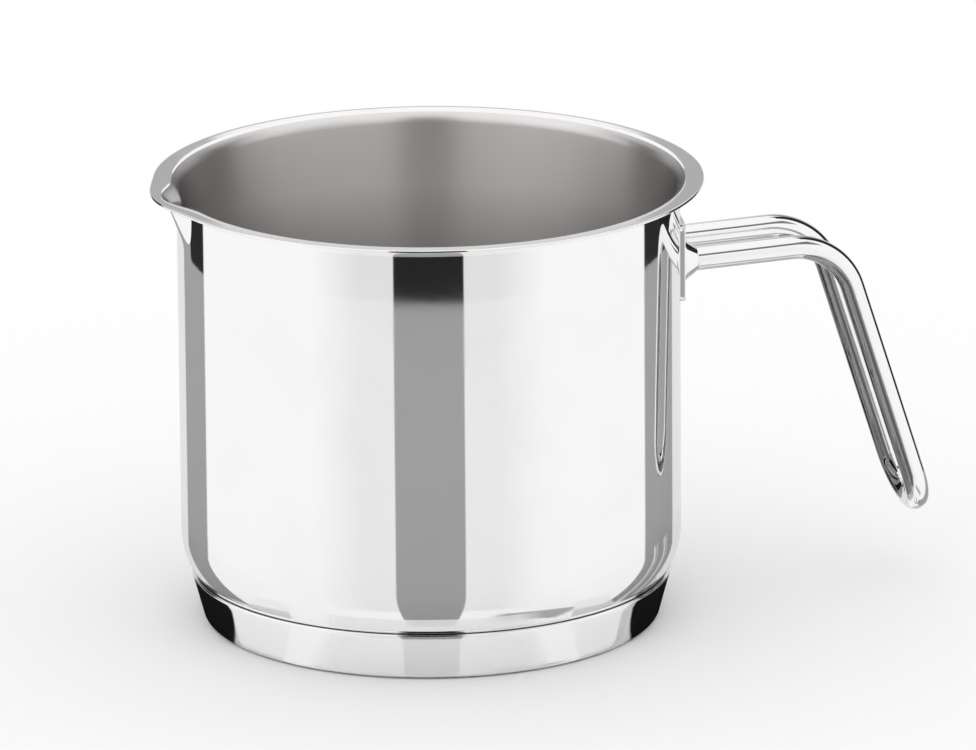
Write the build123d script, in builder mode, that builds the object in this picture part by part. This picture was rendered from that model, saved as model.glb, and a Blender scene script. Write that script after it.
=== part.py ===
from build123d import *
import os
from math import cos, radians, sin, sqrt, tan

# Milk pan. Sizes are in millimetres. The origin is the centre of the underside, +Z is up,
# the handle points along +X and the pouring spout is opposite it, along -X.

# Pot: drawn from one sheet, with a rim turned outwards
inner_diameter = 140.0
pan_height = 127.5
pot_sheet = 0.7
floor_corner_radius = 19.3
rim_overhang = 7.4
rim_bend_radius = 2.2
rim_edge_radius = 0.25
lip_slope = radians(3.0)

# Spout: a part of the rim and the wall below it, pressed outwards on a smaller radius
spout_proud = 2.0
spout_rim_radius = 19.2
spout_depth = 14.0
spout_lean = radians(21.0)

# Base: an aluminium disc closed in by a steel cap
cap_sheet = 1.0
cap_height = 14.0
cap_taper = radians(15.0)
cap_corner_radius = 2.5
cap_edge_radius = 0.4
cap_clearance = 0.1
core_thickness = 4.8
core_edge_drop = 2.0

# Handle plate: a curved plate, seated on the wall
plate_width = 38.0
plate_height = 22.2
plate_sheet = 1.5
plate_corner_radius = 1.5
plate_edge_radius = 0.3
plate_drop = 26.2

# Handle: one round rod, bent to a U with two level legs that turn down
rod_diameter = 6.8
leg_spacing = 23.2
root_drop = 27.0
level_run = 44.6
level_rise = 1.5
grip_run = 25.9
grip_drop = 80.7
elbow_radius = 18.5

# Weld collars: the flared feet of the rod
collar_diameter = 12.2
collar_length = 2.7

# How far a cut runs past what it cuts
overrun = 2.0

inner_radius = inner_diameter / 2
outer_radius = inner_radius + pot_sheet
rim_radius = inner_radius + rim_overhang
floor_height = cap_sheet + core_thickness + pot_sheet
plate_face_radius = outer_radius + plate_sheet
spout_offset = rim_radius + spout_proud - spout_rim_radius
spout_centre = Plane((-spout_offset, 0, 0), x_dir=(1, 0, 0), z_dir=(0, -1, 0))
spout_axis = Axis((-spout_offset, 0, 0), (0, 0, 1))


def lip_point(edge_radius, skin, past):
    """The end of the lip, at a depth of skin below its upper face and past its edge."""
    radius = edge_radius + past * cos(lip_slope) - (pot_sheet - skin) * sin(lip_slope)
    return radius, pan_height + past * sin(lip_slope) - skin * cos(lip_slope)


def wall_points(start_height, start_radius, lean, lip_end):
    """The section of a turned form: the axis, the floor's and the lip's corners, the lip's end."""
    lip_radius, lip_height = lip_end
    rise = lip_height - lip_radius * tan(lip_slope) - start_height
    root_radius = (start_radius + rise * tan(lean)) / (1 - tan(lip_slope) * tan(lean))
    root_height = lip_height - (lip_radius - root_radius) * tan(lip_slope)
    return (
        (0, start_height),
        (start_radius, start_height),
        (root_radius, root_height),
        (lip_radius, lip_height),
    )


def pot_points(skin, past):
    """The pot's section, skin outside its inner face."""
    start_height = floor_height - skin
    return wall_points(start_height, inner_radius + skin, 0, lip_point(rim_radius, skin, past))


def spout_points(skin, past):
    """The spout's section about its own axis. It starts inside the pot's wall."""
    start_height = pan_height - spout_depth - overrun
    start_radius = inner_radius - spout_offset - overrun * tan(spout_lean) + skin / cos(spout_lean)
    lip_end = lip_point(spout_rim_radius, skin, past)
    return wall_points(start_height, start_radius, spout_lean, lip_end)


def blank_outline(points, corner_radius, edge_radius):
    """Everything inside the outer face, with the lip's edge running up past its upper face."""
    with BuildLine() as outline:
        under = FilletPolyline(*points, radius=[corner_radius, rim_bend_radius])
        edge = Line(under @ 1, lip_point(edge_radius, -overrun, 0))
        Polyline(edge @ 1, (0, (edge @ 1).Y), under @ 0)
    return outline.edges()


def hollow_outline(points, corner_radius):
    """Everything inside the inner face, with the lip's upper face running past its edge."""
    with BuildLine() as outline:
        face = FilletPolyline(*points, radius=[corner_radius, rim_bend_radius + pot_sheet])
        top = pan_height + 2 * overrun
        Polyline(face @ 1, ((face @ 1).X, top), (0, top), face @ 0)
    return outline.edges()


def on_lip_edge(radius):
    """Whether a circle of this radius is an edge of the pot's or the spout's lip."""
    return min(abs(radius - rim_radius), abs(radius - spout_rim_radius)) < pot_sheet / 2


def cap_radius(height, inset):
    """The radius of the cap's side at a height, inset into its sheet."""
    slant = (cap_height - height) * tan(cap_taper)
    return cap_top_radius - slant - inset / cos(cap_taper)


def cap_points(inset, top):
    """The cap's section from the centre of its floor up to top, inset into its sheet."""
    return (0, inset), (cap_radius(inset, inset), inset), (cap_radius(top, inset), top)


# The cap's edge closes on the pot's rounded corner
corner_outside = floor_corner_radius + pot_sheet
corner_centre_height = floor_height + floor_corner_radius
corner_reach = sqrt(corner_outside**2 - (corner_centre_height - cap_height) ** 2)
seat_radius = outer_radius - corner_outside + corner_reach
cap_top_radius = seat_radius + cap_clearance + cap_sheet / cos(cap_taper)

# Pot
with BuildPart() as pan_body:
    with BuildSketch(Plane.XZ):
        make_face(blank_outline(pot_points(pot_sheet, 0), corner_outside, rim_radius))
    revolve(axis=Axis.Z)
    with BuildSketch(spout_centre):
        make_face(blank_outline(spout_points(pot_sheet, 0), 0, spout_rim_radius))
    revolve(axis=spout_axis)
    with BuildSketch(Plane.XZ):
        make_face(hollow_outline(pot_points(0, overrun), floor_corner_radius))
    revolve(axis=Axis.Z, mode=Mode.SUBTRACT)
    with BuildSketch(spout_centre):
        make_face(hollow_outline(spout_points(0, overrun), 0))
    revolve(axis=spout_axis, mode=Mode.SUBTRACT)
    circles = pan_body.edges().filter_by(GeomType.CIRCLE)
    lip_edges = circles.filter_by(lambda edge: on_lip_edge(edge.radius))
    fillet(lip_edges, radius=rim_edge_radius)

# Steel cap of the base
with BuildPart() as base_cap:
    with BuildSketch(Plane.XZ):
        with BuildLine():
            outside = FilletPolyline(*cap_points(0, cap_height), radius=cap_corner_radius)
            inside = FilletPolyline(
                *cap_points(cap_sheet, cap_height), radius=cap_corner_radius - cap_sheet
            )
            Line(outside @ 1, inside @ 1)
            Line(inside @ 0, outside @ 0)
        make_face()
    revolve(axis=Axis.Z)
    fillet(base_cap.edges().group_by(Axis.Z)[-1], radius=cap_edge_radius)

# Aluminium disc inside the base: it fills the cap up to the pot
with BuildPart() as base_core:
    with BuildSketch(Plane.XZ):
        with BuildLine():
            core_top = cap_height - core_edge_drop
            side = FilletPolyline(
                *cap_points(cap_sheet, core_top), radius=cap_corner_radius - cap_sheet
            )
            Polyline(side @ 1, (0, core_top), side @ 0)
        make_face()
    revolve(axis=Axis.Z)
    with BuildSketch(Plane.XZ):
        make_face(blank_outline(pot_points(pot_sheet, 0), corner_outside, rim_radius))
    revolve(axis=Axis.Z, mode=Mode.SUBTRACT)

# Plate that carries the handle
with BuildPart() as handle_plate:
    plate_centre = (0, 0, pan_height - plate_drop)
    with BuildSketch(Plane(plate_centre, x_dir=(0, 1, 0), z_dir=(1, 0, 0))):
        RectangleRounded(plate_width, plate_height, plate_corner_radius)
    extrude(amount=plate_face_radius)
    with BuildSketch():
        Circle(plate_face_radius)
        Circle(outer_radius, mode=Mode.SUBTRACT)
    extrude(amount=pan_height, mode=Mode.INTERSECT)
    plate_face = handle_plate.faces().filter_by(GeomType.CYLINDER).sort_by(Axis.X)[-1]
    fillet(plate_face.edges(), radius=plate_edge_radius)

# The rod's legs meet the plate at the root, and run to the elbow and on to the grip's end
root_height = pan_height - root_drop
rod_radius = rod_diameter / 2
leg_slope = level_rise / level_run
start_reach = outer_radius - overrun
start_height = root_height - (plate_face_radius - start_reach) * leg_slope
elbow = (plate_face_radius + level_run, root_height + level_rise)
tip = (elbow[0] + grip_run, elbow[1] - grip_drop)
grip_length = sqrt(grip_run**2 + grip_drop**2)
bow_share = leg_spacing / 2 / grip_length
bow_start = (tip[0] - grip_run * bow_share, tip[1] + grip_drop * bow_share)


def at_leg(side, reach, height):
    """A point of the leg on one side of the handle."""
    return reach, side * leg_spacing / 2, height


# Handle
with BuildPart() as handle_rod:
    with BuildLine() as rod_line:
        near_leg = FilletPolyline(
            at_leg(-1, start_reach, start_height),
            at_leg(-1, *elbow),
            at_leg(-1, *bow_start),
            radius=elbow_radius,
        )
        ThreePointArc(near_leg @ 1, (tip[0], 0, tip[1]), at_leg(1, *bow_start))
        FilletPolyline(
            at_leg(1, *bow_start),
            at_leg(1, *elbow),
            at_leg(1, start_reach, start_height),
            radius=elbow_radius,
        )
    with BuildSketch(Plane(near_leg @ 0, z_dir=near_leg % 0)):
        Circle(rod_radius)
    sweep(path=rod_line.wire())
    with BuildSketch():
        Circle(plate_face_radius)
    extrude(amount=pan_height, mode=Mode.SUBTRACT)

# Flared feet that weld the rod to the plate
leg_direction = Vector(level_run, 0, level_rise)
with BuildPart() as handle_weld_collars:
    for side in (-1, 1):
        foot = Vector(*at_leg(side, plate_face_radius, root_height))
        with BuildSketch(Plane(foot, x_dir=leg_direction, z_dir=(0, -1, 0))):
            with BuildLine():
                flare = Line((collar_length, rod_radius), (0, collar_diameter / 2))
                back = start_reach - plate_face_radius
                Polyline(flare @ 1, (back, collar_diameter / 2), (back, rod_radius), flare @ 0)
            make_face()
        revolve(axis=Axis(foot, leg_direction))
    with BuildSketch():
        Circle(plate_face_radius)
    extrude(amount=pan_height, mode=Mode.SUBTRACT)

pieces = {
    "pan_body": pan_body,
    "base_cap": base_cap,
    "base_core": base_core,
    "handle_plate": handle_plate,
    "handle_rod": handle_rod,
    "handle_weld_collars": handle_weld_collars,
}
os.makedirs("parts", exist_ok=True)
for name, piece in pieces.items():
    piece.part.label = name
    export_step(piece.part, f"parts/{name}.step")
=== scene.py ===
from math import cos, pi, radians, sin, sqrt, tan

import bpy
from mathutils import Matrix, Vector


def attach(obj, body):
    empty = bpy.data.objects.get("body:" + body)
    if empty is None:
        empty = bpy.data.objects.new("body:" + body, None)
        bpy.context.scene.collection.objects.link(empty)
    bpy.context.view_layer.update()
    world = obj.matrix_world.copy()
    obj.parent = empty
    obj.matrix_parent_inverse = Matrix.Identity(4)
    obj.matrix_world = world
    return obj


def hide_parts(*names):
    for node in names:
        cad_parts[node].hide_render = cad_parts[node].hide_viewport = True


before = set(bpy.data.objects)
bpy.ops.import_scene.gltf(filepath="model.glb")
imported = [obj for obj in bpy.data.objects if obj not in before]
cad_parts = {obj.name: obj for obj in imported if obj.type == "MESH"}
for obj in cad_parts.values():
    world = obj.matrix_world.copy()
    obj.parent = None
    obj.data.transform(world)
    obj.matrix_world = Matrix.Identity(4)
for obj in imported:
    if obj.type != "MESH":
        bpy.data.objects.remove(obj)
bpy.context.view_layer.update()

# Camera. It stands well away from the pan with a long lens, a little to the spout's side
# of straight on and just high enough to look over the rim. All lengths are in metres.
view_turn = radians(-15.5)
view_tilt = radians(16.34)
view_roll = radians(-0.42)
view_distance = 3.1022
aim_aside = 0.01637
aim_height = 0.06953
lens_length = 405.74
film_width = 36
sight_limit = 30

level = Vector((cos(view_turn), sin(view_turn), 0))
backwards = Vector(
    (sin(view_turn) * cos(view_tilt), -cos(view_turn) * cos(view_tilt), sin(view_tilt))
)
upright = backwards.cross(level)
across = cos(view_roll) * level + sin(view_roll) * upright
upwards = cos(view_roll) * upright - sin(view_roll) * level
aim = aim_aside * across + Vector((0, 0, aim_height))

camera = bpy.data.objects.new("camera", bpy.data.cameras.new("camera"))
camera.data.lens = lens_length
camera.data.sensor_width = film_width
camera.data.clip_end = sight_limit
camera.matrix_world = Matrix.Translation(aim + view_distance * backwards) @ Matrix(
    (across, upwards, backwards)
).transposed().to_4x4()
bpy.context.scene.collection.objects.link(camera)
bpy.context.scene.camera = camera
bpy.context.scene.view_settings.view_transform = "Standard"

# White tent. The pan stands on a white table inside a white tent that lights it evenly
# from all sides, so the background is white and the shadow on the table is faint.
tent = bpy.data.worlds.new("white_tent")
tent.use_nodes = True
tent.node_tree.nodes["Background"].inputs["Color"].default_value = (1, 1, 1, 1)
tent.node_tree.nodes["Background"].inputs["Strength"].default_value = 1
bpy.context.scene.world = tent


def piece_of(name, points, faces, materials, face_materials=None):
    """A smooth mesh piece with its materials, in place in the scene."""
    mesh = bpy.data.meshes.new(name)
    mesh.from_pydata([tuple(point) for point in points], [], faces)
    for material in materials:
        mesh.materials.append(material)
    if face_materials:
        mesh.polygons.foreach_set("material_index", face_materials)
    mesh.shade_smooth()
    mesh.update()
    piece = bpy.data.objects.new(name, mesh)
    bpy.context.scene.collection.objects.link(piece)
    return piece


table_reach = 12.0
table_drop = 0.00005
table_sheen = 0.64
table_white = bpy.data.materials.new("table_white")
table_white.use_nodes = True
table_white.node_tree.nodes.clear()
table_paint = table_white.node_tree.nodes.new("ShaderNodeBsdfDiffuse")
table_paint.inputs["Color"].default_value = (1, 1, 1, 1)
table_gloss = table_white.node_tree.nodes.new("ShaderNodeBsdfAnisotropic")
table_gloss.inputs["Roughness"].default_value = 0.02
table_gloss.inputs["Color"].default_value = (1, 1, 1, 1)
seen_by = table_white.node_tree.nodes.new("ShaderNodeLightPath")
gloss_share = table_white.node_tree.nodes.new("ShaderNodeMath")
gloss_share.operation = "MULTIPLY"
gloss_share.inputs[1].default_value = table_sheen
table_mixed = table_white.node_tree.nodes.new("ShaderNodeMixShader")
table_out = table_white.node_tree.nodes.new("ShaderNodeOutputMaterial")
for start, end in (
    (seen_by.outputs["Is Glossy Ray"], gloss_share.inputs[0]),
    (gloss_share.outputs[0], table_mixed.inputs["Fac"]),
    (table_paint.outputs[0], table_mixed.inputs[1]),
    (table_gloss.outputs[0], table_mixed.inputs[2]),
    (table_mixed.outputs[0], table_out.inputs["Surface"]),
):
    table_white.node_tree.links.new(start, end)
table_corners = [
    (x * table_reach, y * table_reach, -table_drop) for x, y in ((-1, -1), (1, -1), (1, 1), (-1, 1))
]
table = piece_of("table", table_corners, [(0, 1, 2, 3)], [table_white])

# Cards. Polished steel shows its shape only by what it reflects, so black cards and a few
# white ones stand round the table and lie on it, out of sight. Only the steel sees them.
# Each standing card has its distance, its direction from the pan and half its width, its soft
# edge, its lowest and highest edge as seen from the pan in degrees, and how strong its black is.
standing_cards = (
    ("camera_gap", 0.457, 0, 14.7, 0.5, -1, 62, 0.975),
    ("camera_gap_haze", 0.458, 0, 40, 22, -1, 34, 0.2),
    ("left_gap", 0.421, -129.7, 12.6, 1, -1, 60, 0.975),
    ("right_gap", 0.433, 124.3, 15.4, 1, -1, 60, 0.975),
    ("back_cloth", 0.456, 172.5, 48.5, 2, 28.8, 32, 0.56),
    ("back_haze", 0.455, 172.5, 48.5, 2, -1, 28.8, 0.3),
    ("left_veil", 0.454, -148, 16, 14, 32, 48, 0.7),
    ("right_veil", 0.454, 148, 16, 14, 32, 48, 0.7),
    ("lamp_gap", 0.459, 60, 25, 8, 42, 54, 0.8),
)
# Each card that lies on the table has its direction, how far it drifts round, half its width and
# its soft edge, its nearest and its furthest edge from the pan's axis, how strong its paint is,
# and the paint's tone, from 0 for black to 1 for white.
# The black lying cards are painted shade: the table's shadow round the pan's foot and behind the
# handle, which only the steel reflects
lying_cards = (
    ("left_foot_shade", -87, -15, 27, 1, 0.064, 0.083, 0.97, 0),
    ("right_foot_shade", 88, 15, 27, 1, 0.064, 0.083, 0.97, 0),
    ("front_foot_white", 0, 0, 30, 8, 0.064, 0.082, 0.55, 1),
    ("grip_floor_shade", 146, 0, 13, 4, 0.075, 0.125, 0.85, 0),
)
lying_height = 0.0003
# White cards at the height of the step, one each side, so that only the base sees the shades
white_cards = (("left_step_white", -92), ("right_step_white", 92))
white_half_width = 41
white_soft = 1
white_strength = 1
white_near, white_far, white_height = 0.0681, 0.1000, 0.0136
card_steps_each_unit = 2
card_rows = 30
card_shares = [row / card_rows for row in range(card_rows + 1)]


def round_table(turn, distance, height):
    """A point at a distance from the pan, in a direction that is counted from the camera."""
    heading = view_turn - pi / 2 + radians(turn)
    return distance * cos(heading), distance * sin(heading), height


def card_paint(name, tone=0, one_sided=False):
    """A flat paint, as strong as the card's strength is there. One-sided, its back is clear."""
    paint = bpy.data.materials.new(name)
    paint.use_nodes = True
    nodes, links = paint.node_tree.nodes, paint.node_tree.links
    nodes.clear()
    strength = nodes.new("ShaderNodeAttribute")
    strength.attribute_name = "strength"
    shown = strength.outputs["Fac"]
    if one_sided:
        face = nodes.new("ShaderNodeNewGeometry")
        front = nodes.new("ShaderNodeMix")
        front.data_type = "FLOAT"
        front.inputs["B"].default_value = 0
        links.new(face.outputs["Backfacing"], front.inputs["Factor"])
        links.new(shown, front.inputs["A"])
        shown = front.outputs["Result"]
    clear = nodes.new("ShaderNodeBsdfTransparent")
    colour = nodes.new("ShaderNodeBsdfDiffuse")
    colour.inputs["Color"].default_value = (tone, tone, tone, 1)
    mixed = nodes.new("ShaderNodeMixShader")
    out = nodes.new("ShaderNodeOutputMaterial")
    links.new(shown, mixed.inputs["Fac"])
    links.new(clear.outputs[0], mixed.inputs[1])
    links.new(colour.outputs[0], mixed.inputs[2])
    links.new(mixed.outputs[0], out.inputs["Surface"])
    return paint


def card(name, middle, half_width, soft, strength, rows, paint, place=round_table):
    """A card that fades out at its two sides. Each row has its drift and two more measures."""
    widest = half_width + soft / 2
    steps = round(2 * widest * card_steps_each_unit)
    asides = [widest * (2 * k / steps - 1) for k in range(steps + 1)]
    points = [place(middle + drift + aside, *spot) for drift, *spot in rows for aside in asides]
    faces = [
        (corner, corner + 1, corner + len(asides) + 1, corner + len(asides))
        for row in range(len(rows) - 1)
        for corner in range(row * len(asides), row * len(asides) + steps)
    ]
    piece = piece_of(name, points, faces, [paint])
    strengths = [strength * min(1, (widest - abs(aside)) / soft) for aside in asides]
    attribute = piece.data.attributes.new("strength", "FLOAT", "POINT")
    attribute.data.foreach_set("value", strengths * len(rows))
    piece.visible_camera = piece.visible_diffuse = piece.visible_shadow = False
    piece.visible_transmission = piece.visible_volume_scatter = False


for name, distance, middle, half_width, soft, low, high, strength in standing_cards:
    rises = [radians(low + (high - low) * share) for share in card_shares]
    rows = [(0, distance * cos(rise), distance * sin(rise)) for rise in rises]
    card(name, middle, half_width, soft, strength, rows, card_paint(name))
for name, middle, drift, half_width, soft, near, far, strength, tone in lying_cards:
    rows = [(drift * share, near + (far - near) * share, lying_height) for share in card_shares]
    card(name, middle, half_width, soft, strength, rows, card_paint(name, tone))
white_rows = [
    (0, white_near + (white_far - white_near) * share, white_height) for share in card_shares
]
for name, middle in white_cards:
    card(name, middle, white_half_width, white_soft, white_strength, white_rows, table_white)

# Grip card, a painted shade. A black card that leans between the pot and the grip stands in for the
# shade under the handle. Only its outer side is black, so the grip's inner sides show it and the
# polished wall doesn't. Its widths are in millimetres, counted from the plane of symmetry.
millimetre = 0.001
grip_card_middle = -35
grip_card_half_width = 95
grip_card_soft = 20
grip_card_strength = 0.66
grip_card_foot = 0.125
grip_card_lean = -0.0228
grip_card_height = 0.085


def beside_grip(aside, reach, height):
    """A point aside from the plane of symmetry, at its reach towards the grip."""
    return reach, aside * millimetre, height


grip_card_rise = grip_card_height - lying_height
grip_card_rows = [
    (0, grip_card_foot + grip_card_lean * share, lying_height + grip_card_rise * share)
    for share in card_shares
]
card(
    "grip_shade",
    grip_card_middle,
    grip_card_half_width,
    grip_card_soft,
    grip_card_strength,
    grip_card_rows,
    card_paint("grip_shade", one_sided=True),
    beside_grip,
)

# Pot. One sheet of stainless steel, deep drawn and trimmed, with the rim turned outwards
# all round for pouring and a small spout pressed into it opposite the handle. It is mirror
# polished outside and over the rim, and has a satin finish turned with belts inside.
inner_radius = 0.0700
pot_height = 0.1275
sheet = 0.0007
floor_height = 0.0065
floor_corner = 0.0193
rim_radius = 0.0774
rim_bend = 0.0022
rim_edge_round = 0.00025
lip_slope = radians(3)
# The spout leans out from its foot. Its zone is where the rows that it moves start, its fold
# softens the line where it leaves the wall, and it spreads wider at the rim than on the wall.
spout_rim_radius = 0.07928
spout_foot = 0.1135
spout_lean = radians(21)
spout_fold = 0.0010
spout_zone = 0.1050
spout_wall_spread = radians(6)
spout_rim_spread = radians(18)
floor_first_ring = 0.0120
floor_rows, corner_rows, lower_wall_rows = 5, 20, 10
wall_rows, bend_rows, lip_rows, edge_rows = 18, 14, 4, 4
satin_bend_rows = 13


def round_corner(before, corner, after, radius, steps):
    """The points of the round that joins two straight runs at a corner."""
    before, corner, after = Vector(before), Vector(corner), Vector(after)
    back, on = (before - corner).normalized(), (after - corner).normalized()
    half = back.angle(on) / 2
    centre = corner + (back + on).normalized() * radius / sin(half)
    first = corner + back * radius / tan(half) - centre
    turn = pi - 2 * half
    if back.x * on.y - back.y * on.x > 0:
        turn = -turn
    return [centre + Matrix.Rotation(turn * k / steps, 2) @ first for k in range(steps + 1)]


def between(start, end, steps):
    """Evenly spaced points from start up to, but without, end."""
    start, end = Vector(start), Vector(end)
    return [start.lerp(end, k / steps) for k in range(steps)]


def lip_point(edge_radius, depth):
    """The corner of the lip's edge at a depth below its upper face."""
    lip_radius = edge_radius - (sheet - depth) * sin(lip_slope)
    return Vector((lip_radius, pot_height - depth * cos(lip_slope)))


def upper_section(side_point, lean, edge_radius, depth):
    """A face of the wall and the lip: the foot of the upper wall, the root's bend, the lip."""
    lip = lip_point(edge_radius, depth)
    rise = lip.y - lip.x * tan(lip_slope) - side_point.y
    root_radius = (side_point.x + rise * tan(lean)) / (1 - tan(lip_slope) * tan(lean))
    root = Vector((root_radius, lip.y - (lip.x - root_radius) * tan(lip_slope)))
    bend = round_corner(side_point, root, lip, rim_bend + sheet - depth, bend_rows)
    wall = between(side_point, bend[0], wall_rows)
    return wall + bend[:-1] + between(bend[-1], lip, lip_rows)


def lip_edge(edge_radius):
    """The lip's edge from its lower to its upper face, with both corners rounded."""
    lower, upper = lip_point(edge_radius, sheet), lip_point(edge_radius, 0)
    inwards = Vector((-cos(lip_slope), -sin(lip_slope))) * sheet
    lower_round = round_corner(lower + inwards, lower, upper, rim_edge_round, edge_rows)
    return lower_round + round_corner(lower, upper, upper + inwards, rim_edge_round, edge_rows)


def pot_face(depth):
    """The pot's own section at a depth in the sheet, from the middle of the floor to the lip."""
    side, low = inner_radius + depth, floor_height - depth
    wall_foot = Vector((side, spout_zone))
    corner = round_corner((0, low), (side, low), wall_foot, floor_corner + depth, corner_rows)
    lower = [Vector((0, low)), *between((floor_first_ring, low), corner[0], floor_rows)]
    lower += corner[:-1] + between(corner[-1], wall_foot, lower_wall_rows)
    return lower, upper_section(wall_foot, 0, rim_radius, depth)


def spout_face(depth):
    """The spout's section at a depth in the sheet, in the plane of symmetry."""
    side = inner_radius - (spout_foot - spout_zone) * tan(spout_lean) + depth / cos(spout_lean)
    return upper_section(Vector((side, spout_zone)), spout_lean, spout_rim_radius, depth)


outside_lower, outside_upper = pot_face(sheet)
inside_lower, inside_upper = pot_face(0)
rim_edge = lip_edge(rim_radius)
pot_section = outside_lower + outside_upper + rim_edge + inside_upper[::-1] + inside_lower[::-1]
spout_upper = spout_face(sheet) + lip_edge(spout_rim_radius) + spout_face(0)[::-1]
spout_section = [None] * len(outside_lower) + spout_upper + [None] * len(inside_lower)
widening = spout_rim_spread - spout_wall_spread
widening_rows = len(outside_upper) - wall_rows
upper_spreads = [
    spout_wall_spread + widening * max(0, k - wall_rows) / widening_rows
    for k in range(len(outside_upper))
]
spout_spreads = [0] * len(outside_lower) + upper_spreads + [spout_rim_spread] * len(rim_edge)
spout_spreads += upper_spreads[::-1] + [0] * len(inside_lower)
satin_start = len(pot_section) - len(inside_lower) - wall_rows - satin_bend_rows


def pressed_out(row, turn):
    """A point of the pot's section, pushed out by the spout where its direction is near it."""
    pot_point, spout_point, spread = pot_section[row], spout_section[row], spout_spreads[row]
    aside = abs((turn + pi) % (2 * pi) - pi)
    if spout_point is None or aside >= spread:
        return pot_point
    share = cos(pi / 2 * aside / spread) ** 2
    push = spout_point.x - pot_point.x
    push = (push + sqrt(push**2 + spout_fold**2)) / 2
    rise = spout_point.y - pot_point.y
    return Vector((pot_point.x + push * share, pot_point.y + rise * share))


def side_faces(first, rings, count):
    """The faces between rings of points that follow each other from the first point on."""
    faces = []
    for ring in range(rings - 1):
        low, high = first + ring * count, first + (ring + 1) * count
        for k in range(count):
            after = (k + 1) % count
            faces.append((low + k, low + after, high + after, high + k))
    return faces


def spun(section, turns, place):
    """A form spun round the upright axis: a section from the axis to the axis, all round."""
    count = len(turns)
    points = [(0, 0, section[0].y)]
    for row in range(1, len(section) - 1):
        for turn in turns:
            spot = place(row, turn)
            points.append((-spot.x * cos(turn), -spot.x * sin(turn), spot.y))
    points.append((0, 0, section[-1].y))
    rings = len(section) - 2
    last = 1 + (rings - 1) * count
    faces = [(0, 1 + (k + 1) % count, 1 + k) for k in range(count)]
    faces += side_faces(1, rings, count)
    faces += [(last + k, last + (k + 1) % count, len(points) - 1) for k in range(count)]
    return points, faces


# The directions of the pot's columns in degrees from the spout, closer together round it
fine_reach, fine_step, coarse_step = 24, 0.5, 1.2
fine_count, coarse_count = round(fine_reach / fine_step), round((180 - fine_reach) / coarse_step)
half_turns = [k * fine_step for k in range(fine_count + 1)]
half_turns += [fine_reach + k * coarse_step for k in range(1, coarse_count + 1)]
pot_turns = [radians(turn) for turn in half_turns]
pot_turns += [radians(-turn) for turn in half_turns[-2:0:-1]]


def new_group(name, inputs, outputs):
    """A shader node group with named number inputs and outputs, and its two end nodes."""
    group = bpy.data.node_groups.new(name, "ShaderNodeTree")
    for socket, value in inputs.items():
        made = group.interface.new_socket(socket, in_out="INPUT", socket_type="NodeSocketFloat")
        made.default_value = value
    for socket in outputs:
        group.interface.new_socket(socket, in_out="OUTPUT", socket_type="NodeSocketFloat")
    return group, group.nodes.new("NodeGroupInput"), group.nodes.new("NodeGroupOutput")


def maths(tree, operation, first, second):
    """A maths node on two values, each a number or another node's output."""
    node = tree.nodes.new("ShaderNodeMath")
    node.operation = operation
    for socket, value in zip(node.inputs, (first, second)):
        if isinstance(value, bpy.types.NodeSocket):
            tree.links.new(value, socket)
        else:
            socket.default_value = value
    return node.outputs[0]


# The fine lines that a turning pan is given by a belt or a cutter, in circles round its axis
line_bends = 5
turned_lines, lines_in, lines_out = new_group(
    "turned_lines", {"Lines per metre": 3000}, ("Height",)
)
lines_count = lines_in.outputs["Lines per metre"]
place_on = turned_lines.nodes.new("ShaderNodeTexCoord").outputs["Object"]
flat = turned_lines.nodes.new("ShaderNodeVectorMath")
flat.operation = "MULTIPLY"
flat.inputs[1].default_value = (1, 1, 0)
turned_lines.links.new(place_on, flat.inputs[0])
off_axis = turned_lines.nodes.new("ShaderNodeVectorMath")
off_axis.operation = "LENGTH"
turned_lines.links.new(flat.outputs[0], off_axis.inputs[0])
direction = turned_lines.nodes.new("ShaderNodeVectorMath")
direction.operation = "NORMALIZE"
turned_lines.links.new(flat.outputs[0], direction.inputs[0])
direction_parts = turned_lines.nodes.new("ShaderNodeSeparateXYZ")
turned_lines.links.new(direction.outputs[0], direction_parts.inputs[0])
place_parts = turned_lines.nodes.new("ShaderNodeSeparateXYZ")
turned_lines.links.new(place_on, place_parts.inputs[0])
along_line = turned_lines.nodes.new("ShaderNodeCombineXYZ")
lines_noise = turned_lines.nodes.new("ShaderNodeTexNoise")
lines_noise.noise_dimensions = "4D"
lines_noise.inputs["Scale"].default_value = 1
lines_noise.inputs["Detail"].default_value = 3
for measure, factor, socket in (
    (direction_parts.outputs["X"], line_bends, along_line.inputs["X"]),
    (direction_parts.outputs["Y"], line_bends, along_line.inputs["Y"]),
    (place_parts.outputs["Z"], lines_count, along_line.inputs["Z"]),
    (off_axis.outputs["Value"], lines_count, lines_noise.inputs["W"]),
):
    turned_lines.links.new(maths(turned_lines, "MULTIPLY", measure, factor), socket)
turned_lines.links.new(along_line.outputs[0], lines_noise.inputs["Vector"])
turned_lines.links.new(lines_noise.outputs["Fac"], lines_out.inputs["Height"])

# The marks of use on steel: wiped smears, and hairline scratches in two directions
hairline_tilts = ((0.3, 0.5, 0.2), (-0.6, 0.1, 1.1))
hairline_stretch = (60, 4200, 4200)
used_steel, used_in, used_out = new_group(
    "used_steel", {"Smears per metre": 40}, ("Smears", "Hairlines")
)
used_place = used_steel.nodes.new("ShaderNodeTexCoord").outputs["Object"]
smears = used_steel.nodes.new("ShaderNodeTexNoise")
smears.inputs["Detail"].default_value = 4
smears.inputs["Distortion"].default_value = 0.6
used_steel.links.new(used_place, smears.inputs["Vector"])
used_steel.links.new(used_in.outputs["Smears per metre"], smears.inputs["Scale"])
smear_range = used_steel.nodes.new("ShaderNodeMapRange")
smear_range.inputs["From Min"].default_value = 0.45
smear_range.inputs["From Max"].default_value = 0.75
used_steel.links.new(smears.outputs["Fac"], smear_range.inputs["Value"])
used_steel.links.new(smear_range.outputs[0], used_out.inputs["Smears"])
hairlines = []
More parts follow.
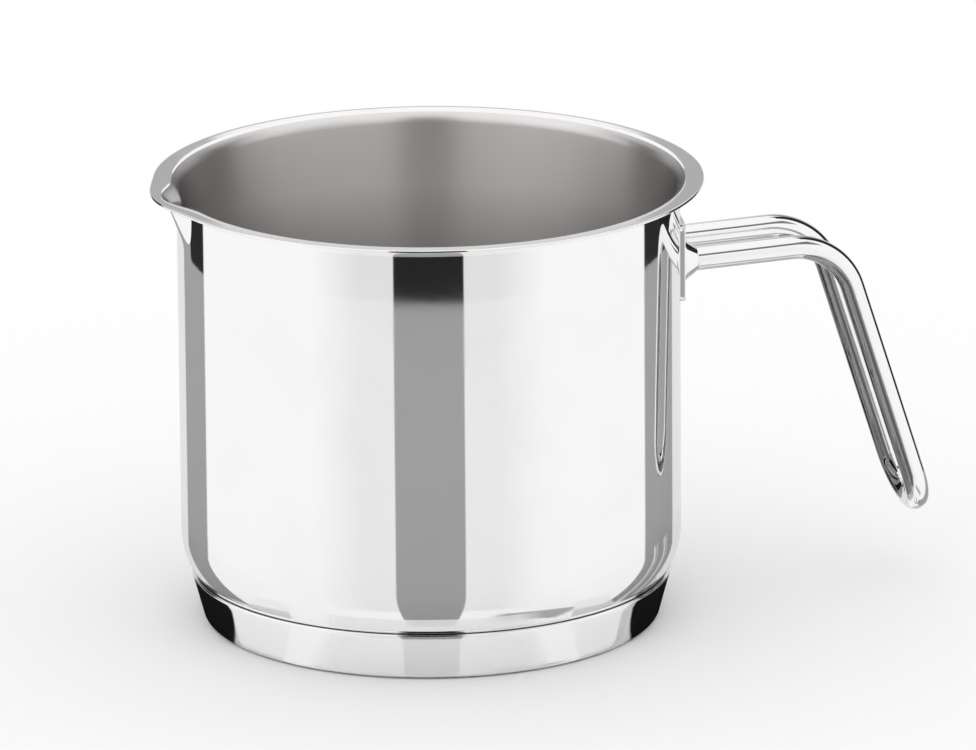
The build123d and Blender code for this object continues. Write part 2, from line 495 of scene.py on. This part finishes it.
for tilt in hairline_tilts:
    laid = used_steel.nodes.new("ShaderNodeMapping")
    laid.inputs["Rotation"].default_value = tilt
    laid.inputs["Scale"].default_value = hairline_stretch
    used_steel.links.new(used_place, laid.inputs["Vector"])
    streaks = used_steel.nodes.new("ShaderNodeTexNoise")
    streaks.inputs["Scale"].default_value = 1
    streaks.inputs["Detail"].default_value = 1
    used_steel.links.new(laid.outputs[0], streaks.inputs["Vector"])
    thin = used_steel.nodes.new("ShaderNodeMapRange")
    thin.inputs["From Min"].default_value = 0.7
    thin.inputs["From Max"].default_value = 0.78
    used_steel.links.new(streaks.outputs["Fac"], thin.inputs["Value"])
    hairlines.append(thin.outputs[0])
used_steel.links.new(maths(used_steel, "MAXIMUM", *hairlines), used_out.inputs["Hairlines"])


def metal(name, colour, dull_colour, smooth, rough, lines_depth, wave_depth):
    """Metal that is duller where it is marked, with turned lines and the press's faint waves."""
    material = bpy.data.materials.new(name)
    material.use_nodes = True
    tree = material.node_tree
    shader = tree.nodes["Principled BSDF"]
    shader.inputs["Metallic"].default_value = 1
    used = tree.nodes.new("ShaderNodeGroup")
    used.node_tree = used_steel
    marks = maths(tree, "MAXIMUM", used.outputs["Smears"], used.outputs["Hairlines"])
    tint = tree.nodes.new("ShaderNodeMix")
    tint.data_type = "RGBA"
    tint.inputs["A"].default_value = (*colour, 1)
    tint.inputs["B"].default_value = (*dull_colour, 1)
    tree.links.new(marks, tint.inputs["Factor"])
    tree.links.new(tint.outputs["Result"], shader.inputs["Base Color"])
    dullness = tree.nodes.new("ShaderNodeMapRange")
    dullness.inputs["To Min"].default_value = smooth
    dullness.inputs["To Max"].default_value = rough
    tree.links.new(marks, dullness.inputs["Value"])
    tree.links.new(dullness.outputs[0], shader.inputs["Roughness"])
    turned = tree.nodes.new("ShaderNodeGroup")
    turned.node_tree = turned_lines
    waves = tree.nodes.new("ShaderNodeTexNoise")
    waves.inputs["Scale"].default_value = 45
    waves.inputs["Detail"].default_value = 1
    tree.links.new(tree.nodes.new("ShaderNodeTexCoord").outputs["Object"], waves.inputs["Vector"])
    height = maths(
        tree,
        "ADD",
        maths(tree, "MULTIPLY", turned.outputs["Height"], lines_depth),
        maths(tree, "MULTIPLY", waves.outputs["Fac"], wave_depth),
    )
    relief = tree.nodes.new("ShaderNodeBump")
    relief.inputs["Distance"].default_value = 1
    tree.links.new(height, relief.inputs["Height"])
    tree.links.new(relief.outputs[0], shader.inputs["Normal"])
    return material


pot_polish = metal(
    "pot_polish",
    colour=(0.93, 0.93, 0.925),
    dull_colour=(0.9, 0.9, 0.895),
    smooth=0.03,
    rough=0.07,
    lines_depth=0.0000004,
    wave_depth=0.00001,
)
pot_satin = metal(
    "pot_satin",
    colour=(0.97, 0.945, 0.936),
    dull_colour=(0.96, 0.935, 0.926),
    smooth=0.41,
    rough=0.43,
    lines_depth=0.000003,
    wave_depth=0.000004,
)
# The satin has painted shade lower down, and its belt lines smear every reflection round the pot
satin_tree = pot_satin.node_tree
satin_shader = satin_tree.nodes["Principled BSDF"]
satin_colour = satin_shader.inputs["Base Color"].links[0].from_socket
satin_place = satin_tree.nodes.new("ShaderNodeTexCoord")
satin_height = satin_tree.nodes.new("ShaderNodeSeparateXYZ")
satin_tree.links.new(satin_place.outputs["Object"], satin_height.inputs[0])
# Painted shade: the base colour darkens from 0.107 m down to 0.086 m, for the shade deep in the pot
depth_shade_ramp = satin_tree.nodes.new("ShaderNodeMapRange")
depth_shade_ramp.inputs["From Min"].default_value = 0.086
depth_shade_ramp.inputs["From Max"].default_value = 0.107
satin_tree.links.new(satin_height.outputs["Z"], depth_shade_ramp.inputs["Value"])
painted_depth_shade = satin_tree.nodes.new("ShaderNodeMix")
painted_depth_shade.data_type = "RGBA"
painted_depth_shade.inputs["A"].default_value = (0.60, 0.58, 0.572, 1)
satin_tree.links.new(depth_shade_ramp.outputs[0], painted_depth_shade.inputs["Factor"])
satin_tree.links.new(satin_colour, painted_depth_shade.inputs["B"])
satin_tree.links.new(painted_depth_shade.outputs["Result"], satin_shader.inputs["Base Color"])
satin_shader.inputs["Anisotropic"].default_value = 0.93
satin_shader.inputs["Anisotropic Rotation"].default_value = 0.25
satin_shader.inputs["Specular Tint"].default_value = (0, 0, 0, 1)
belt_way = satin_tree.nodes.new("ShaderNodeTangent")
belt_way.direction_type = "RADIAL"
belt_way.axis = "Z"
satin_tree.links.new(belt_way.outputs[0], satin_shader.inputs["Tangent"])

pot_points, pot_faces = spun(pot_section, pot_turns, pressed_out)
satin_faces = (len(pot_section) - 1 - satin_start) * len(pot_turns)
pot = piece_of(
    "milk_pan_pot",
    pot_points,
    pot_faces,
    [pot_polish, pot_satin],
    [0] * (len(pot_faces) - satin_faces) + [1] * satin_faces,
)
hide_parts("pan_body")
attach(pot, "root")

# Base cap. A dish of stainless steel sheet, pressed over the aluminium disc under hundreds
# of tonnes. It is mirror polished with the pot, and its underside is turned a little hollow.
cap_sheet = 0.0010
cap_height = 0.0140
cap_lean = radians(15)
cap_top_radius = 0.06799
cap_corner = 0.0025
cap_edge_round = 0.0004
# The underside is hollow out to a small step, and the pan stands on the ring outside it
cap_hollow_radius = 0.0500
cap_hollow_margin = 0.0012
cap_hollow_depth = 0.00025
cap_hollow_first_ring = 0.0100
cap_hollow_step = 0.0001
cap_hollow_step_round = 0.0004
cap_ring_start = 0.0008
cap_ring_round = 0.0008
cap_columns = 450
cap_hollow_rows, cap_step_rows, cap_ring_rows, cap_corner_rows = 6, 3, 4, 12
cap_side_rows, cap_edge_rows, cap_inside_rows = 6, 5, 6


def cap_side(height, depth):
    """A point of the cap's side at a height and at a depth in its sheet."""
    slant = (cap_height - height) * tan(cap_lean) + depth / cos(cap_lean)
    return Vector((cap_top_radius - slant, height))


cap_centre = Vector((0, cap_hollow_depth))
first_ring = Vector((cap_hollow_first_ring, cap_hollow_depth))
last_ring = Vector((cap_hollow_radius - cap_hollow_margin, cap_hollow_depth))
hollow_edge = Vector((cap_hollow_radius, cap_hollow_depth))
hollow_step = (cap_hollow_radius + cap_hollow_step, 0)
ring_start = (cap_hollow_radius + cap_ring_start, 0)
cap_foot, cap_inside_foot = cap_side(0, 0), cap_side(cap_sheet, cap_sheet)
outside_top, inside_top = cap_side(cap_height, 0), cap_side(cap_height, cap_sheet)
inside_centre = Vector((0, cap_sheet))
cap_section = [cap_centre] + between(first_ring, last_ring, cap_hollow_rows)
for before, corner, after, radius, rows in (
    (cap_centre, hollow_edge, hollow_step, cap_hollow_step_round, cap_step_rows),
    (hollow_edge, ring_start, (cap_top_radius, 0), cap_ring_round, cap_ring_rows),
    ((cap_hollow_radius, 0), cap_foot, outside_top, cap_corner, cap_corner_rows),
):
    cap_section += round_corner(before, corner, after, radius, rows)
cap_section += between(cap_section[-1], outside_top, cap_side_rows)[1:]
for before, corner, after, radius, rows in (
    (cap_section[-1], outside_top, inside_top, cap_edge_round, cap_edge_rows),
    (outside_top, inside_top, cap_inside_foot, cap_edge_round, cap_edge_rows),
    (inside_top, cap_inside_foot, inside_centre, cap_corner - cap_sheet, cap_inside_rows),
):
    cap_section += round_corner(before, corner, after, radius, rows)
cap_section.append(inside_centre)


def on_cap(row, turn):
    """A point of the cap's section, the same in every direction."""
    return cap_section[row]


cap_polish = metal(
    "cap_polish",
    colour=(0.93, 0.93, 0.925),
    dull_colour=(0.9, 0.9, 0.895),
    smooth=0.04,
    rough=0.09,
    lines_depth=0.0000006,
    wave_depth=0.000006,
)
cap_turns = [radians(360 / cap_columns * k) for k in range(cap_columns)]
cap = piece_of("milk_pan_base_cap", *spun(cap_section, cap_turns, on_cap), [cap_polish])
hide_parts("base_cap")
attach(cap, "root")

# Base disc. Plain rolled aluminium, squeezed flat between the pot's floor and the cap, where
# nobody sees it. It keeps its own form.
disc_grey = metal(
    "disc_grey",
    colour=(0.80, 0.80, 0.81),
    dull_colour=(0.74, 0.74, 0.75),
    smooth=0.35,
    rough=0.5,
    lines_depth=0.000002,
    wave_depth=0,
)
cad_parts["base_core"].data.materials.clear()
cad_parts["base_core"].data.materials.append(disc_grey)

# Handle rod. One round steel rod, bent to a long U and then down over a former, mirror
# polished, with both its ends welded to the plate.
rod_radius = 0.0034
leg_aside = 0.0116
rod_start = 0.0704
root_reach = 0.0722
root_height = 0.1005
elbow_point = (0.1168, 0.1020)
tip_point = (0.1427, 0.0213)
elbow_radius = 0.0185
rod_sides = 48
level_rows, elbow_rows, grip_way_rows, bow_rows = 8, 28, 12, 40

leg_slope = (elbow_point[1] - root_height) / (elbow_point[0] - root_reach)
leg_start = (rod_start, root_height - (root_reach - rod_start) * leg_slope)
grip_way = (Vector(tip_point) - Vector(elbow_point)).normalized()
bow_start = Vector(tip_point) - grip_way * leg_aside
elbow = round_corner(leg_start, elbow_point, bow_start, elbow_radius, elbow_rows)
leg = between(leg_start, elbow[0], level_rows) + elbow
leg += between(elbow[-1], bow_start, grip_way_rows)[1:]
rod_line = [Vector((x, -leg_aside, z)) for x, z in leg]
for row in range(bow_rows + 1):
    bend = pi * row / bow_rows
    x, z = bow_start + grip_way * leg_aside * sin(bend)
    rod_line.append(Vector((x, -leg_aside * cos(bend), z)))
rod_line += [Vector((x, leg_aside, z)) for x, z in leg[::-1]]


def rod_mesh(line, radius, sides):
    """A round rod along a line of points, closed at both ends."""
    points = []
    side = Vector((0, 1, 0))
    for k, spot in enumerate(line):
        before, after = line[max(k - 1, 0)], line[min(k + 1, len(line) - 1)]
        way = (after - before).normalized()
        side = (side - way * side.dot(way)).normalized()
        over = way.cross(side)
        for step in range(sides):
            turn = 2 * pi * step / sides
            points.append(spot + radius * (cos(turn) * side + sin(turn) * over))
    faces = side_faces(0, len(line), sides)
    faces.append(tuple(range(sides))[::-1])
    faces.append(tuple(range(len(points) - sides, len(points))))
    return points, faces


rod_polish = metal(
    "rod_polish",
    colour=(0.93, 0.93, 0.93),
    dull_colour=(0.9, 0.9, 0.9),
    smooth=0.05,
    rough=0.1,
    lines_depth=0,
    wave_depth=0.000004,
)
rod = piece_of("milk_pan_handle_rod", *rod_mesh(rod_line, rod_radius, rod_sides), [rod_polish])
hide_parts("handle_rod")
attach(rod, "root")

# Handle plate. A rectangle of steel, rolled to the curve of the wall and spot welded to it,
# so that the handle's load is spread over the thin sheet.
plate_inside = 0.0707
plate_outside = 0.0722
plate_half_width = 0.0190
plate_half_height = 0.0111
plate_middle = 0.1013
plate_corner = 0.0015
plate_edge_round = 0.0003
plate_edge_slack = 0.98
plate_columns = 56
plate_edge_rows = 5


def plate_half_height_at(aside):
    """Half the plate's height at a distance from its middle, less at its rounded corners."""
    into_corner = max(0, abs(aside) - (plate_half_width - plate_corner))
    return plate_half_height - plate_corner + sqrt(max(0, plate_corner**2 - into_corner**2))


def plate_face_at(aside):
    """How far out the plate's face is at a distance from its middle, less at its rounded ends."""
    into_edge = max(0, abs(aside) - (plate_half_width - plate_edge_round))
    return plate_outside - plate_edge_round + sqrt(max(0, plate_edge_round**2 - into_edge**2))


plate_asides = [
    plate_half_width * sin(pi / 2 * (2 * k / plate_columns - 1)) for k in range(plate_columns + 1)
]
plate_points, plate_faces = [], []
for aside in plate_asides:
    high, face = plate_half_height_at(aside), plate_face_at(aside)
    back, corner, middle = (plate_inside, high), (face, high), (face, 0)
    edge_round = plate_edge_round * plate_edge_slack
    edge = round_corner(back, corner, middle, edge_round, plate_edge_rows)
    upper = [Vector(back), *edge, Vector((face, high / 2))]
    outline = upper + [Vector((point.x, -point.y)) for point in upper[::-1]]
    for point in outline:
        angle = aside / plate_outside
        plate_points.append((point.x * cos(angle), point.x * sin(angle), plate_middle + point.y))
ring = len(plate_points) // len(plate_asides)
for column in range(plate_columns):
    low, high = column * ring, (column + 1) * ring
    for k in range(ring):
        after = (k + 1) % ring
        plate_faces.append((low + k, high + k, high + after, low + after))
plate_faces.append(tuple(range(ring)))
plate_faces.append(tuple(range(len(plate_points) - ring, len(plate_points)))[::-1])
plate = piece_of("milk_pan_handle_plate", plate_points, plate_faces, [rod_polish])
for end in plate.data.polygons[-2:]:
    end.use_smooth = False
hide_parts("handle_plate")
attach(plate, "root")

# Weld collars. Two flared feet of weld steel, left round the rod's ends where they are fused
# to the plate, and polished with the rod.
collar_radius = 0.0061
collar_length = 0.0027
collar_sides = 48
collar_rows = 8
collar_seat = 0.0714
leg_way = Vector((1, 0, leg_slope)).normalized()
sideways = Vector((0, 1, 0))
over = leg_way.cross(sideways)
collar_points, collar_faces = [], []
for side in (-1, 1):
    foot = Vector((root_reach, side * leg_aside, root_height))
    first = len(collar_points)
    for row in range(collar_rows + 2):
        share = max(0, row - 1) / collar_rows
        radius = collar_radius + (rod_radius - collar_radius) * share
        seat = collar_seat if row == 0 else plate_outside
        for k in range(collar_sides):
            turn = 2 * pi * k / collar_sides
            point = foot + leg_way * collar_length
            point += radius * (cos(turn) * sideways + sin(turn) * over)
            point.x += (sqrt(seat**2 - point.y**2) - point.x) * (1 - share)
            collar_points.append(point)
    last = len(collar_points) - collar_sides
    collar_faces += side_faces(first, collar_rows + 2, collar_sides)
    collar_faces.append(tuple(range(first, first + collar_sides))[::-1])
    collar_faces.append(tuple(range(last, last + collar_sides)))
collars = piece_of("milk_pan_weld_collars", collar_points, collar_faces, [rod_polish])
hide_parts("handle_weld_collars")
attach(collars, "root")
